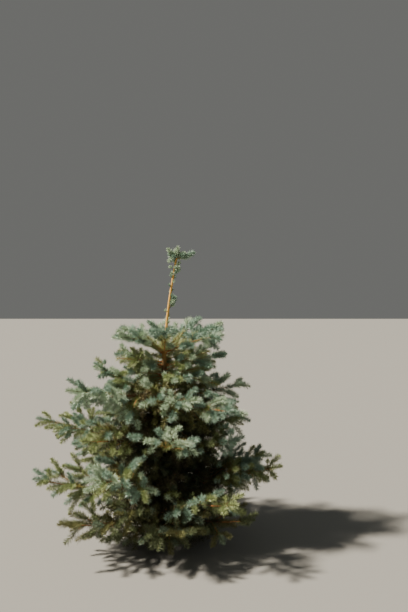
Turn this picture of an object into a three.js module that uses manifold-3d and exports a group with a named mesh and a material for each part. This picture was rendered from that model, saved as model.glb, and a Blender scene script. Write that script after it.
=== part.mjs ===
// A young blue spruce, about 1.7 m tall, growing in open ground: a slim leaning leader over a wide,
// ragged cone of boughs that stand in whorls round the trunk. Millimetres, +Z up, origin at the
// centre of the trunk's flat cut at ground level. +X is to the right and -Y towards the viewer.
import * as THREE from "three";
import { mergeVertices } from "three/addons/utils/BufferGeometryUtils.js";
import Module from "manifold-3d";

const wasm = await Module();
wasm.setup();

// Trunk and leader
const trunkTop = 1660; // where the leader's tip shoots begin
const leaderFoot = 1105; // the top whorl, where the bare leader begins
const buttRadius = 27;
const shoulderRadius = 13; // just under the top whorl
const leaderRadius = 8.5;
const leaderTipRadius = 5.5;
const flareRadius = 17; // added to the radius at the ground
const flareHeight = 42;
const flareLobes = 5; // low swellings over the main roots
const lobeDepth = 0.16;
const lowerDrift = 20; // how far the trunk wanders to the right below the top whorl
const leaderLean = 0.128; // the leader's lean to the right, per millimetre of rise
const leaderBow = 10; // how far its middle bends back to the left
const sway = 7; // gentle bend towards the viewer

// Boughs
const gap = 0.3; // clearance between neighbouring solids
const limbShare = 0.3; // the part of a lower bough that is bare wood
const stemFootRadius = 2.4; // a bough's radius at the trunk, for no reach at all
const footPerReach = 0.0088; // and what each millimetre of reach adds to it
const stemTipRadius = 2.6;
const wander = 7; // degrees that a bough may swing off its bearing at mid-length
const bareFoot = 75; // a stem has no needles this near the trunk's axis

// Side shoots. Angles are in degrees, and each range is a lowest value and what chance adds to it.
const pairRoll = [-35, 70]; // how far a pair is turned round its stem, out of the level
const shootAngle = [38, 12]; // from the stem
const shootLift = [-0.03, 0.16]; // upward bend, as a share of its length
const shootLength = [0.46, 0.24]; // for each millimetre of bough beyond it
const tipShoot = 58; // the last year's growth, added to every side shoot
const forkedLength = 300; // side shoots longer than this fork,
const forkShare = 0.42; // this far along,
const forkAngle = 44;
const forkLength = [38, 0.26]; // its own length, and what each millimetre of its parent adds
const riserAngle = [44, 20];
const riserLength = [48, 34];
const coreRadius = 5;

// Needles
const needleOut = 23; // how far a needle's point stands off its shoot's centreline
const needleForward = 16; // and how far it leans towards the shoot's tip
const needleSpacing = 58;
const needleRoom = 23; // radius round a shoot that its needles fill
const elbowRoom = 1.5; // least space between the needles of two masses
const groundRoom = 6;

// Each whorl: the height of its foot on the trunk, how far its boughs sag below a straight line,
// the number of yearly joints on each, the share of joints that carry a shoot standing up, whether
// they have a bare limb, and then its boughs as [bearing in degrees anticlockwise from +X, reach,
// height of the tip].
const whorls = [
  { name: "top", foot: 1100, sag: -14, stagger: 14, joints: 1, risers: 0, limb: false,
    boughs: [[8, 340, 1258], [47, 285, 1296], [100, 250, 1258], [152, 262, 1238],
      [200, 285, 1206], [274, 185, 1232], [338, 365, 1212]] },
  { name: "second", foot: 1030, sag: -4, stagger: 14, joints: 1, risers: 0.45, limb: false,
    boughs: [[78, 270, 1120], [184, 265, 1112], [351, 365, 1096]] },
  { name: "third", foot: 958, sag: 2, stagger: 16, joints: 1, risers: 0.45, limb: false,
    boughs: [[20, 265, 1004], [120, 290, 1030], [178, 215, 996], [298, 225, 968]] },
  { name: "fourth", foot: 815, sag: 6, stagger: 28, joints: 2, risers: 0.45, limb: false,
    boughs: [[7, 480, 915], [64, 500, 900], [130, 510, 905], [190, 400, 1046], [222, 635, 940],
      [285, 400, 858], [324, 520, 800]] },
  { name: "fifth", foot: 590, sag: 22, stagger: 42, joints: 2, risers: 0.45, limb: true,
    boughs: [[34, 590, 680], [82, 600, 690], [128, 600, 690], [173, 770, 700], [232, 610, 690],
      [283, 570, 705], [336, 480, 628]] },
  { name: "sixth", foot: 365, sag: 42, stagger: 46, joints: 2, risers: 0.45, limb: true,
    boughs: [[24, 690, 450], [82, 700, 430], [143, 700, 440], [205, 730, 450], [251, 700, 575],
      [305, 715, 402], [347, 700, 478]] },
  { name: "lowest", foot: 185, sag: 30, stagger: 28, joints: 2, risers: 0.45, limb: false,
    boughs: [[42, 600, 250], [118, 620, 260], [224, 680, 265], [284, 620, 262], [328, 610, 235]] },
];

// Small sprays on the leader: [height, bearing, length], and the shoots round its tip:
// [bearing, length, rise above level in degrees].
const leaderSprays = [[1355, 350, 85], [1545, 340, 72]];
const sprayRise = 58;
const sprayFork = [62, 40]; // the fork's bearing from its stem, and its rise
const tipShoots = [[352, 100, 4], [205, 66, 24], [100, 60, 30], [280, 44, 55]];

const up = new THREE.Vector3(0, 0, 1);
const radians = THREE.MathUtils.degToRad;
const mix = THREE.MathUtils.lerp;

// A repeatable number from 0 to 1 for any three whole numbers.
function chance(a, b, c) {
  const s = Math.sin(a * 12.9898 + b * 78.233 + c * 37.719) * 43758.5453;
  return s - Math.floor(s);
}

// A value within one of the ranges above.
function within([low, spread], share) {
  return low + spread * share;
}

function towards(bearing, rise) {
  const level = Math.cos(radians(rise));
  return new THREE.Vector3(
    level * Math.cos(radians(bearing)), level * Math.sin(radians(bearing)), Math.sin(radians(rise)));
}

// A curve from a function of t, from 0 to 1.
function curveOf(pointAt) {
  const curve = new THREE.Curve();
  curve.getPoint = (t) => pointAt(t);
  return curve;
}

function line(from, to) {
  return new THREE.LineCurve3(from, to);
}

// A closed solid from a closed three.js geometry.
function solidOf(geometry) {
  geometry.deleteAttribute("normal");
  geometry.deleteAttribute("uv");
  const merged = mergeVertices(geometry, 1e-4);
  return new wasm.Manifold(new wasm.Mesh({
    numProp: 3,
    vertProperties: new Float32Array(merged.getAttribute("position").array),
    triVerts: new Uint32Array(merged.index.array),
  }));
}

// A limb along a curve. cornerAt gives, for t and the angle round the curve, how far each corner
// of the section stands off it and how far that corner is moved on along it.
function rod(curve, cornerAt, sides, steps, pointed = false) {
  const shape = new THREE.CylinderGeometry(pointed ? 0 : 1, 1, 1, sides, steps);
  const place = shape.getAttribute("position");
  const v = new THREE.Vector3();
  for (let i = 0; i < place.count; i++) {
    v.fromBufferAttribute(place, i);
    const t = v.y + 0.5;
    const turn = Math.atan2(v.z, v.x);
    const isCentre = Math.hypot(v.x, v.z) < 1e-6;
    const { out, forward } = isCentre ? { out: 0, forward: 0 } : cornerAt(t, turn);
    const along = curve.getTangent(t).normalize();
    const [side, top] = squareTo(along);
    v.copy(curve.getPoint(t))
      .addScaledVector(side, out * Math.cos(turn))
      .addScaledVector(top, out * Math.sin(turn))
      .addScaledVector(along, forward);
    place.setXYZ(i, v.x, v.y, v.z);
  }
  return solidOf(shape);
}

// The corners of a plain section, from a radius that follows t and the angle.
function plain(radiusAt) {
  return (t, turn) => ({ out: radiusAt(t, turn), forward: 0 });
}

// The two directions square to a shoot: across the spray and out of its upper face.
function squareTo(along) {
  const side = new THREE.Vector3().crossVectors(along, up);
  if (side.length() < 0.05) side.set(1, 0, 0);
  side.addScaledVector(along, -side.dot(along)).normalize();
  return [side, new THREE.Vector3().crossVectors(side, along)];
}

// The trunk's axis and radius at a height.
function axisAt(z) {
  const rise = Math.min(z / leaderFoot, 1);
  const climb = Math.max(0, z - leaderFoot);
  const bow = leaderBow * Math.sin((Math.PI * climb) / (trunkTop - leaderFoot));
  const lean = lowerDrift * rise * rise * (3 - 2 * rise) + leaderLean * climb - bow;
  return new THREE.Vector3(lean, -sway * Math.sin((Math.PI * z) / leaderFoot), z);
}

function trunkRadius(z) {
  const wood = z < leaderFoot
    ? mix(buttRadius, shoulderRadius, z / leaderFoot)
    : mix(leaderRadius, leaderTipRadius, (z - leaderFoot) / (trunkTop - leaderFoot));
  return wood + flareRadius * Math.exp(-z / flareHeight);
}

// The trunk as a solid, grown by some clearance when it is used as a cutter.
function trunkSolid(extra) {
  const ringCrowding = 1.5; // rings lie closer together towards the flare
  const heightAt = (t) => trunkTop * Math.pow(t, ringCrowding);
  const axis = curveOf((t) => {
    const z = heightAt(t);
    return axisAt(z).setZ(mix(-2 * extra, trunkTop + extra, z / trunkTop));
  });
  axis.getTangent = () => up.clone(); // every ring stays level, so the foot is cut flat
  const radius = (t, turn) => {
    const z = heightAt(t);
    const lobes = lobeDepth * Math.exp(-z / flareHeight) * Math.cos(flareLobes * turn);
    return trunkRadius(z) * (1 + lobes) + extra;
  };
  return rod(axis, plain(radius), 2 * flareLobes, 18);
}

// A bough's centreline: t is 0 at the trunk's axis and 1 at its tip.
function boughCurve(bough) {
  const foot = axisAt(bough.foot);
  const swing = (chance(bough.number, 1, 1) - 0.5) * 2 * wander;
  return curveOf((t) => {
    const bearing = bough.bearing + swing * Math.sin(Math.PI * t);
    const z = mix(bough.foot, bough.tip, t) - bough.sag * Math.sin(Math.PI * t);
    return towards(bearing, 0).multiplyScalar(bough.reach * t).add(foot).setZ(z);
  });
}

function boughRadius(bough, t) {
  return mix(stemFootRadius + footPerReach * bough.reach, stemTipRadius, Math.pow(t, 0.8));
}

// Stretches of the plant that are already filled, each with the mass or limb it belongs to.
const filled = [];
const near = new THREE.Line3();

function fill(owner, from, to, radius) {
  filled.push({ owner, from: from.clone(), to: to.clone(), radius });
}

// Whether a straight shoot stays above the ground and clear of every other mass and limb.
function isClear(owner, from, to, radius) {
  const samples = 6;
  const at = new THREE.Vector3();
  const nearest = new THREE.Vector3();
  for (let i = 0; i <= samples; i++) {
    at.lerpVectors(from, to, i / samples);
    if (at.z < radius + groundRoom) return false;
    for (const other of filled) {
      if (other.owner === owner) continue;
      near.set(other.from, other.to).closestPointToPoint(at, true, nearest);
      if (nearest.distanceTo(at) < radius + other.radius + elbowRoom) return false;
    }
  }
  return true;
}

// A direction at an angle to a shoot, towards another direction that is square to it.
function turned(along, square, angle) {
  const turn = radians(angle);
  return along.clone().multiplyScalar(Math.cos(turn)).addScaledVector(square, Math.sin(turn));
}

// The side shoots of a stem: at each yearly joint a pair, turned a little round the stem, and
// at some of them one that stands up. The longest pairs fork once more.
function sideShoots(bough, curve, start) {
  const shoots = [];
  const grow = (from, direction, length) => {
    const to = from.clone().addScaledVector(direction.normalize(), length);
    shoots.push({ from, to });
    return to;
  };
  for (let joint = 1; joint <= bough.joints + 1; joint++) {
    const draw = (n) => chance(bough.number, joint, n);
    const t = mix(start, 1, (joint - 0.4) / (bough.joints + 1.15)) + 0.03 * (draw(2) - 0.5);
    const from = curve.getPoint(t);
    const along = curve.getTangent(t).normalize();
    const [side, top] = squareTo(along);
    const across = turned(side, top, within(pairRoll, draw(30)));
    for (const hand of [-1, 1]) {
      const out = turned(along, across, hand * within(shootAngle, draw(5 + hand)));
      out.addScaledVector(up, within(shootLift, draw(13 + hand))).normalize();
      const length = tipShoot + bough.reach * (1 - t) * within(shootLength, draw(9 + hand));
      const to = grow(from, out, length);
      if (length < forkedLength) continue;
      const fork = turned(out, squareTo(out)[0], -hand * forkAngle);
      grow(from.clone().lerp(to, forkShare), fork, within(forkLength, length));
    }
    if (draw(20) < bough.risers) {
      const riser = turned(along, top, within(riserAngle, draw(21)));
      riser.addScaledVector(side, 0.5 * (draw(22) - 0.5));
      grow(from, riser, within(riserLength, draw(23)));
    }
  }
  return shoots;
}

// A stem or shoot of needles: a slim pointed core, with a needle's point at every other corner
// where there is room for it. bare is the share of it at the root that has none.
function needledRod(owner, curve, length, radiusAt, bare) {
  const sides = 4;
  const steps = Math.max(3, Math.round(length / needleSpacing));
  const hasRoom = [];
  for (let ring = 0; ring <= steps; ring++) {
    const at = curve.getPoint(ring / steps);
    hasRoom.push(ring / steps > bare && ring < steps && isClear(owner, at, at, needleRoom));
  }
  return rod(curve, (t, turn) => {
    const ring = Math.round(t * steps);
    const corner = Math.round((turn * sides) / (2 * Math.PI)) + sides;
    const isPoint = hasRoom[ring] && (ring + corner) % 2 === 0;
    return isPoint ? { out: needleOut, forward: needleForward } : { out: radiusAt(t), forward: 0 };
  }, sides, steps, true);
}

// A straight side shoot, its root slimmer and sunk in the stem.
function shootSolid(owner, from, to) {
  const radius = (t) => coreRadius * Math.min(1, 0.55 + 1.8 * t);
  return needledRod(owner, line(from, to), from.distanceTo(to), radius, 0.12);
}

function joined(pieces) {
  return pieces.reduce((whole, piece) => whole.add(piece));
}

// The main body of a solid, without any scrap that a cut has left loose.
function largest(solid) {
  return solid.decompose().reduce((best, body) => (body.volume() > best.volume() ? body : best));
}

const materials = {
  bark: new THREE.MeshStandardMaterial({ color: 0x5d4a3d, roughness: 0.9, metalness: 0 }),
  needles: new THREE.MeshStandardMaterial({ color: 0x7f9a8e, roughness: 0.6, metalness: 0 }),
};

function meshOf(name, solid, material) {
  const made = solid.getMesh();
  const corners = new Float32Array(made.numVert * 3);
  for (let i = 0; i < made.numVert; i++) {
    corners.set(made.vertProperties.subarray(i * made.numProp, i * made.numProp + 3), i * 3);
  }
  const geometry = new THREE.BufferGeometry();
  geometry.setAttribute("position", new THREE.BufferAttribute(corners, 3));
  geometry.setIndex(new THREE.BufferAttribute(made.triVerts, 1));
  geometry.computeVertexNormals();
  const mesh = new THREE.Mesh(geometry, material);
  mesh.name = name;
  return mesh;
}

// Every bough with its number, its curve and the place where its mass begins. Neighbours leave the
// trunk at different heights, and the last of an odd whorl lies between its two neighbours.
const boughs = [];
for (const whorl of whorls) {
  const count = whorl.boughs.length;
  whorl.boughs.forEach(([bearing, reach, tip], i) => {
    const level = count % 2 === 1 && i === count - 1 ? 0 : 1 - 2 * (i % 2);
    const bough = {
      ...whorl, bearing, reach, tip, foot: whorl.foot + whorl.stagger * level,
      number: boughs.length, label: `${whorl.name}_${i + 1}`,
    };
    bough.curve = boughCurve(bough);
    bough.start = whorl.limb ? limbShare : 0;
    bough.needled = Math.max(bough.start, bareFoot / reach);
    boughs.push(bough);
  });
}

const tree = new THREE.Group();
const trunkRoom = trunkSolid(gap);
tree.add(meshOf("trunk", trunkSolid(0), materials.bark));
for (let z = 0; z < trunkTop; z += 40) {
  fill("trunk", axisAt(z), axisAt(Math.min(z + 40, trunkTop)), trunkRadius(z));
}

// Limbs first, then all the stems, so that side shoots are kept off both.
for (const bough of boughs) {
  const steps = 10;
  for (let i = 0; i < steps; i++) {
    const t = i / steps;
    const next = (i + 1) / steps;
    const owner = next <= bough.start + 0.05 ? `${bough.label}_limb` : bough.label;
    const radius = t < bough.needled - 0.05 ? boughRadius(bough, t) : needleRoom;
    fill(owner, bough.curve.getPoint(t), bough.curve.getPoint(next), radius);
  }
}

// The part of a bough's curve from one t to another.
function partOf(curve, from, to) {
  return curveOf((t) => curve.getPoint(mix(from, to, t)));
}

for (const bough of boughs) {
  const { curve, label, start, reach } = bough;
  if (bough.limb) {
    const end = start - gap / reach;
    const wood = rod(partOf(curve, 0, end), plain((t) => boughRadius(bough, t * end)), 6, 3);
    tree.add(meshOf(`${label}_limb`, largest(wood.subtract(trunkRoom)), materials.bark));
  }
  const bare = (bough.needled - start) / (1 - start);
  const stem = needledRod(
    label, partOf(curve, start, 1), reach * (1 - start), (t) => boughRadius(bough, mix(start, 1, t)), bare);
  const pieces = [bough.limb ? stem : stem.subtract(trunkRoom)];
  for (const { from, to } of sideShoots(bough, curve, bough.needled)) {
    if (!isClear(label, from, to, needleRoom)) continue;
    fill(label, from, to, needleRoom);
    pieces.push(shootSolid(label, from, to));
  }
  tree.add(meshOf(`${label}_mass`, largest(joined(pieces)), materials.needles));
}

// Short sprays on the bare leader: a stem and one fork.
leaderSprays.forEach(([height, bearing, length], i) => {
  const label = `leader_spray_${i + 1}`;
  const from = axisAt(height);
  const to = from.clone().addScaledVector(towards(bearing, sprayRise), length);
  const stem = needledRod(label, line(from, to), length, () => coreRadius - 1, 0.3);
  const root = from.clone().lerp(to, 0.4);
  const [across, rise] = sprayFork;
  const fork = root.clone().addScaledVector(towards(bearing + across, rise), length * 0.5);
  const spray = joined([stem, shootSolid(label, root, fork)]).subtract(trunkRoom);
  tree.add(meshOf(label, largest(spray), materials.needles));
});

// The cluster of shoots that ends the leader, on a short hub.
const hubFoot = axisAt(trunkTop + gap);
const hubTop = axisAt(trunkTop + 22);
const hub = rod(line(hubFoot, hubTop), plain(() => leaderTipRadius), 6, 1);
const tipPieces = tipShoots.map(([bearing, length, rise]) => {
  const to = hubTop.clone().addScaledVector(towards(bearing, rise), length);
  return shootSolid("leader_tip", axisAt(trunkTop + 14), to);
});
const tip = joined([hub, ...tipPieces]).subtract(trunkRoom);
tree.add(meshOf("leader_tip", largest(tip), materials.needles));

export default tree;
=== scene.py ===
import random
from math import cos, exp, floor, pi, radians, sin
import bpy
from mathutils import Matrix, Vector, noise


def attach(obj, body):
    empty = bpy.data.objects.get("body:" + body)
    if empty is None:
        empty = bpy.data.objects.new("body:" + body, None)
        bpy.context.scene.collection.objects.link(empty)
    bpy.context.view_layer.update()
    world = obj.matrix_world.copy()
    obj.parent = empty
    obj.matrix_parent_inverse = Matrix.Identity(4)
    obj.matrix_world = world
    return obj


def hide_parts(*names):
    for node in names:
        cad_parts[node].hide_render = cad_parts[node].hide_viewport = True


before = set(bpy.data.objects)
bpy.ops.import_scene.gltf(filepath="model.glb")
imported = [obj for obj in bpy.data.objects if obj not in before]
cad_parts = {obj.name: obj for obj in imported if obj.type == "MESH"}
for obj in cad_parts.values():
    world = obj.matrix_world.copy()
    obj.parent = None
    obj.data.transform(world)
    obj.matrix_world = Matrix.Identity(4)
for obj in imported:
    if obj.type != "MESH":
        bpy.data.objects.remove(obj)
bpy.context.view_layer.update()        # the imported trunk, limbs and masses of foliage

mm = 0.001  # everything is worked out in millimetres and made in metres
up = Vector((0, 0, 1))
scene = bpy.context.scene
goldenAngle = 137.5


def mix(a, b, t):
    return a + (b - a) * t


def chance(a, b, c):  # a repeatable number from 0 to 1 for any three whole numbers
    s = sin(a * 12.9898 + b * 78.233 + c * 37.719) * 43758.5453
    return s - floor(s)


def within(span, share):  # a span is its lowest value and what a full share adds to it
    return span[0] + span[1] * share


def towards(bearing, rise):
    a, e = radians(bearing), radians(rise)
    return Vector((cos(e) * cos(a), cos(e) * sin(a), sin(e)))


def squareTo(along):  # across a spray, and out of its upper face
    side = along.cross(up)
    if side.length < 0.05:  # upright, so that any side will do
        side = Vector((1, 0, 0))
    side = (side - along * side.dot(along)).normalized()
    return side, side.cross(along)


def turned(along, square, angle):
    a = radians(angle)
    return along * cos(a) + square * sin(a)


# The trunk: the same driving sizes as its solid
trunkPlan = {
    "top": 1660, "leaderFoot": 1105,
    "buttRadius": 27, "shoulderRadius": 13, "leaderRadius": 8.5, "leaderTipRadius": 5.5,
    "flareRadius": 17, "flareHeight": 42, "flareLobes": 5, "lobeDepth": 0.16,
    "lowerDrift": 20, "leaderLean": 0.128, "leaderBow": 10, "sway": 7,
}


def axisAt(z):
    plan = trunkPlan
    rise = min(z / plan["leaderFoot"], 1)
    climb = max(0, z - plan["leaderFoot"])
    lean = plan["lowerDrift"] * rise * rise * (3 - 2 * rise) + plan["leaderLean"] * climb
    lean -= plan["leaderBow"] * sin(pi * climb / (plan["top"] - plan["leaderFoot"]))
    return Vector((lean, -plan["sway"] * sin(pi * z / plan["leaderFoot"]), z))


def trunkRadius(z):
    plan = trunkPlan
    if z < plan["leaderFoot"]:
        wood = mix(plan["buttRadius"], plan["shoulderRadius"], z / plan["leaderFoot"])
    else:
        share = (z - plan["leaderFoot"]) / (plan["top"] - plan["leaderFoot"])
        wood = mix(plan["leaderRadius"], plan["leaderTipRadius"], share)
    return wood + plan["flareRadius"] * exp(-z / plan["flareHeight"])


# The boughs. Each whorl has the height of its foot, its sag, how far its boughs stand higher or lower in
# turn, its part of the crown, its yearly joints and the share of them with a shoot that stands up. Then
# its finer shoots: their share of the usual room, the side of a joint's third one (up is 1), how far a
# pair may be out of level, how vigorous all are, how far they turn up, the sag in their middle, and the
# tints of new and older needles, as spans from 0 to 1. Then its boughs as (bearing, reach, tip's height).
boughPlan = {
    "limbShare": 0.3, "footRadius": 2.4, "footPerReach": 0.0088, "tipRadius": 2.6, "taper": 0.8,
    "wander": 7, "bareFoot": 75,
}
usualWhorl = {
    "joints": 2, "risers": 0.45, "limb": False, "closeness": 1, "thirds": (1, 1, -1), "tilt": 40,
    "new": (0, 1), "old": (0, 1),
}
whorls = [{**usualWhorl, **row} for row in (
    {"name": "top", "foot": 1100, "sag": -14, "stagger": 14, "part": "crown", "joints": 1, "risers": 0,
     "closeness": 0.78, "thirds": (-1,), "tilt": 16, "vigour": 1.12, "lift": (-0.12, 0.18),
     "arch": -0.03, "new": (0.1, 0.6),
     "boughs": [(8, 340, 1258), (47, 285, 1296), (100, 250, 1258), (152, 262, 1238),
                (200, 285, 1206), (274, 185, 1232), (338, 365, 1212)]},
    {"name": "second", "foot": 1030, "sag": -4, "stagger": 14, "part": "crown", "joints": 1,
     "closeness": 0.82, "thirds": (1, -1), "vigour": 1.08, "lift": (-0.2, 0.26), "arch": 0.0,
     "new": (0, 0.9),
     "boughs": [(78, 270, 1120), (184, 265, 1112), (351, 365, 1096)]},
    {"name": "third", "foot": 958, "sag": 2, "stagger": 16, "part": "crown", "joints": 1,
     "closeness": 0.82, "vigour": 1.06, "lift": (-0.25, 0.26), "arch": -0.02,
     "boughs": [(20, 265, 1004), (120, 290, 1030), (178, 215, 996), (298, 225, 968)]},
    {"name": "fourth", "foot": 815, "sag": 6, "stagger": 28, "part": "shoulder",
     "vigour": 1.08, "lift": (-0.46, 0.32), "arch": -0.06, "new": (0, 0.8),
     "boughs": [(7, 480, 915), (64, 500, 900), (130, 510, 905), (190, 400, 1046), (222, 635, 940),
                (285, 400, 858), (324, 520, 800)]},
    {"name": "fifth", "foot": 590, "sag": 22, "stagger": 42, "part": "waist", "limb": True,
     "vigour": 1.05, "lift": (-0.48, 0.34), "arch": -0.06,
     "boughs": [(34, 590, 680), (82, 600, 690), (128, 600, 690), (173, 770, 700), (232, 610, 690),
                (283, 570, 705), (336, 480, 628)]},
    {"name": "sixth", "foot": 365, "sag": 42, "stagger": 46, "part": "skirt", "limb": True,
     "vigour": 1.03, "lift": (-0.42, 0.36), "arch": -0.05, "old": (0.1, 0.9),
     "boughs": [(24, 690, 450), (82, 700, 430), (143, 700, 440), (205, 730, 450), (251, 700, 575),
                (305, 715, 402), (347, 700, 478)]},
    {"name": "lowest", "foot": 185, "sag": 30, "stagger": 28, "part": "hem",
     "vigour": 0.98, "lift": (-0.16, 0.3), "arch": 0.0, "new": (0.2, 0.8), "old": (0.2, 0.8),
     "boughs": [(42, 600, 250), (118, 620, 260), (224, 680, 265), (284, 620, 262), (328, 610, 235)]},
)]
# What single boughs have unlike their whorl. Freshness is the share of a year's growth that still has
# the newest needles. On the right-hand boughs fifth_7, sixth_1 and sixth_7 a lower freshness, and on
# fifth_7 and sixth_7 a mostly blue tint, are painted shade: they leave fewer pale needles.
boughMoods = {
    "top_1": {"new": (0.3, 0.4)}, "top_5": {"freshness": 0.75}, "top_6": {"freshness": 0.5},
    "top_7": {"freshness": 0.75, "new": (0.3, 0.4)},
    "second_2": {"freshness": 0.6}, "third_3": {"freshness": 0.6},
    "fourth_4": {"freshness": 0.8, "new": (0.1, 0.9)}, "fourth_5": {"freshness": 0.75, "new": (0, 0.6)},
    "fourth_6": {"new": (0, 0.6)}, "fourth_7": {"new": (0.1, 0.6)},
    "fifth_1": {"closeness": 0.85},
    "fifth_4": {"vigour": 0.92, "freshness": 0.75, "new": (0.5, 0.5)},
    "fifth_5": {"freshness": 0.45, "new": (0.62, 0.38), "old": (0.4, 0.6)},
    "fifth_6": {"closeness": 1.2, "vigour": 0.96, "freshness": 0.75, "new": (0, 0.6),
                "thirds": (1,), "lift": (-0.16, 0.34)},
    "fifth_7": {"closeness": 0.85, "freshness": 0.85, "new": (0.36, 0.4)},
    "sixth_1": {"closeness": 0.72, "freshness": 0.75, "part": "rearSkirt"},
    "sixth_2": {"closeness": 0.74, "part": "rearSkirt"}, "sixth_3": {"part": "rearSkirt"},
    "sixth_4": {"vigour": 0.95, "freshness": 0.7, "new": (0.55, 0.45)},
    "sixth_5": {"closeness": 1.1, "freshness": 0.8, "new": (0, 0.8), "thirds": (1,), "lift": (-0.2, 0.36)},
    "sixth_6": {"closeness": 1.2, "freshness": 0.5, "new": (0.42, 0.58), "old": (0, 0.7)},
    "sixth_7": {"closeness": 0.95, "freshness": 0.55, "new": (0.4, 0.5)},
    "lowest_1": {"closeness": 0.8, "thirds": (1, -1), "lift": (-0.08, 0.36)},
    "lowest_5": {"closeness": 1.25, "freshness": 0.6},
}


def makeBoughs():
    boughs = []
    for whorl in whorls:
        count = len(whorl["boughs"])
        for i, (bearing, reach, tip) in enumerate(whorl["boughs"]):
            level = 0 if count % 2 and i == count - 1 else 1 - 2 * (i % 2)
            number, owner = len(boughs), f"{whorl['name']}_{i + 1}"
            start = boughPlan["limbShare"] if whorl["limb"] else 0
            boughs.append({
                **whorl, "number": number, "owner": owner, "bearing": bearing, "reach": reach,
                "tip": tip, "foot": whorl["foot"] + whorl["stagger"] * level,
                "start": start, "needled": max(start, boughPlan["bareFoot"] / reach),
                "swing": (chance(number, 1, 1) - 0.5) * 2 * boughPlan["wander"],
                **boughMoods.get(owner, {}),
            })
    return boughs


def boughPoint(bough, t):
    bend = sin(pi * t)
    foot = axisAt(bough["foot"])
    level = towards(bough["bearing"] + bough["swing"] * bend, 0) * bough["reach"] * t
    z = mix(bough["foot"], bough["tip"], t) - bough["sag"] * bend
    return Vector((foot.x + level.x, foot.y + level.y, z))


def boughTangent(bough, t):
    return (boughPoint(bough, min(1, t + 0.001)) - boughPoint(bough, max(0, t - 0.001))).normalized()


def boughRadius(bough, t):
    foot = boughPlan["footRadius"] + boughPlan["footPerReach"] * bough["reach"]
    return mix(foot, boughPlan["tipRadius"], t ** boughPlan["taper"])


# The side shoots that the solids show, by their rule, and the room that everything takes up
shootPlan = {
    "jointPlace": (0.4, 1.15), "jointScatter": 0.03,
    "pairRoll": (-35, 70), "angle": (38, 12), "lift": (-0.03, 0.16), "length": (0.46, 0.24),
    "tipShoot": 58, "forkedLength": 300, "forkShare": 0.42, "forkAngle": 44, "forkLength": (38, 0.26),
    "riserAngle": (44, 20), "riserLength": (48, 34), "riserLean": 0.5,
    "room": 23, "elbowRoom": 1.5, "groundRoom": 6, "trunkStep": 40, "boughSteps": 10, "overlap": 0.05,
}
filled = []  # as (owner, foot, way to the other end, its squared length, radius)


def fill(owner, start, end, radius):
    filled.append((owner, start.copy(), end - start, (end - start).length_squared, radius))


# Whether a shoot clears what others fill, or those of them whose names end in the given kinds.
def isClear(owner, start, end, radius, kinds=""):
    samples = 6
    for i in range(samples + 1):
        at = start.lerp(end, i / samples)
        if at.z < radius + shootPlan["groundRoom"]:
            return False
        for other, foot, along, lengthSquared, room in filled:
            if other == owner or not other.endswith(kinds):
                continue
            share = max(0, min(1, (at - foot).dot(along) / lengthSquared))
            if (at - foot - along * share).length < radius + room + shootPlan["elbowRoom"]:
                return False
    return True


def fillStems():
    plan = shootPlan
    for z in range(0, trunkPlan["top"], plan["trunkStep"]):
        fill("trunk", axisAt(z), axisAt(min(z + plan["trunkStep"], trunkPlan["top"])), trunkRadius(z))
    for bough in boughs:
        for i in range(plan["boughSteps"]):
            t, following = i / plan["boughSteps"], (i + 1) / plan["boughSteps"]
            owner = bough["owner"] + ("_limb" if following <= bough["start"] + plan["overlap"] else "")
            room = boughRadius(bough, t) if t < bough["needled"] - plan["overlap"] else plan["room"]
            fill(owner, boughPoint(bough, t), boughPoint(bough, following), room)


def sideShoots(bough):
    plan, shoots = shootPlan, []
    before, after = plan["jointPlace"]
    for joint in range(1, bough["joints"] + 2):
        draws = [chance(bough["number"], joint, n) for n in range(31)]  # numbered as for the solids
        t = mix(bough["needled"], 1, (joint - before) / (bough["joints"] + after))
        t += plan["jointScatter"] * (draws[2] - 0.5)
        start, along = boughPoint(bough, t), boughTangent(bough, t)
        side, top = squareTo(along)
        across = turned(side, top, within(plan["pairRoll"], draws[30]))
        for hand in (-1, 1):
            out = turned(along, across, hand * within(plan["angle"], draws[5 + hand]))
            out = (out + up * within(plan["lift"], draws[13 + hand])).normalized()
            length = plan["tipShoot"] + bough["reach"] * (1 - t) * within(plan["length"], draws[9 + hand])
            shoots.append((start, start + out * length))
            if length >= plan["forkedLength"]:
                fork = turned(out, squareTo(out)[0], -hand * plan["forkAngle"]).normalized()
                root = start + out * length * plan["forkShare"]
                shoots.append((root, root + fork * within(plan["forkLength"], length)))
        if draws[20] < bough["risers"]:
            riser = turned(along, top, within(plan["riserAngle"], draws[21]))
            riser = (riser + side * plan["riserLean"] * (draws[22] - 0.5)).normalized()
            shoots.append((start, start + riser * within(plan["riserLength"], draws[23])))
    return shoots


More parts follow.
